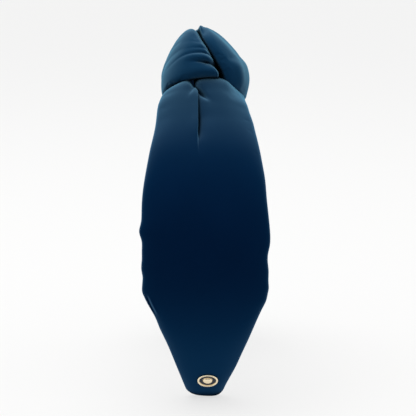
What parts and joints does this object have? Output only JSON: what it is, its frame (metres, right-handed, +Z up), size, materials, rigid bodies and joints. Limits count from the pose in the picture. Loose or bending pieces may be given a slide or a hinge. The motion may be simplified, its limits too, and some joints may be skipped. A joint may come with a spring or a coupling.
{
  "type": "knotted headband",
  "caption": "Wide padded fabric headband on a sprung arch core, with a soft knot on the crown, tapered tips and a small metal ornament.",
  "frame": {"origin": "on the floor, midway between the two tips the headband stands on", "axes": "+Z up through the knot, +X towards the wearer's left arm (the one with the ornament), -Y towards the wearer's face, the arch lying in the XZ plane"},
  "size_m": [0.137, 0.0544, 0.157],
  "materials": {
    "satin": "smooth satin-faced knit, soft sheen",
    "lining": "matte ribbed ribbon",
    "core": "moulded, satin",
    "foam": "open-cell foam sheet",
    "wadding": "fibre wadding",
    "thread": "polyester sewing thread",
    "gilt": "polished gold-tone plating"
  },
  "bodies": {
    "crown": {"core_crown": "core", "lining_crown": "lining", "sleeve_neck_left": "satin", "sleeve_neck_right": "satin", "knot_batting": "wadding", "knot_cross_strand": "satin", "knot_wrap_left": "satin", "knot_wrap_right": "satin", "knot_tacks": "thread"},
    "left_arm": {"core_arm_left": "core", "lining_left": "lining", "foam_pad_left": "foam", "sleeve_left": "satin", "hem_stitches_left": "thread", "plaque": "gilt", "plaque_backplate": "gilt"},
    "right_arm": {"core_arm_right": "core", "lining_right": "lining", "foam_pad_right": "foam", "sleeve_right": "satin", "hem_stitches_right": "thread"}
  },
  "joints": [
    {"name": "left_arm_flex", "type": "hinge", "parent": "crown", "child": "left_arm", "pos_m": [0.03, 0, 0.11196], "axis": [0, -1, 0], "range_deg": [-4, 12], "stiffness_Nm_per_rad": 1.2},
    {"name": "right_arm_flex", "type": "hinge", "parent": "crown", "child": "right_arm", "pos_m": [-0.03, 0, 0.11196], "axis": [0, 1, 0], "range_deg": [-4, 12], "stiffness_Nm_per_rad": 1.2}
  ]
}
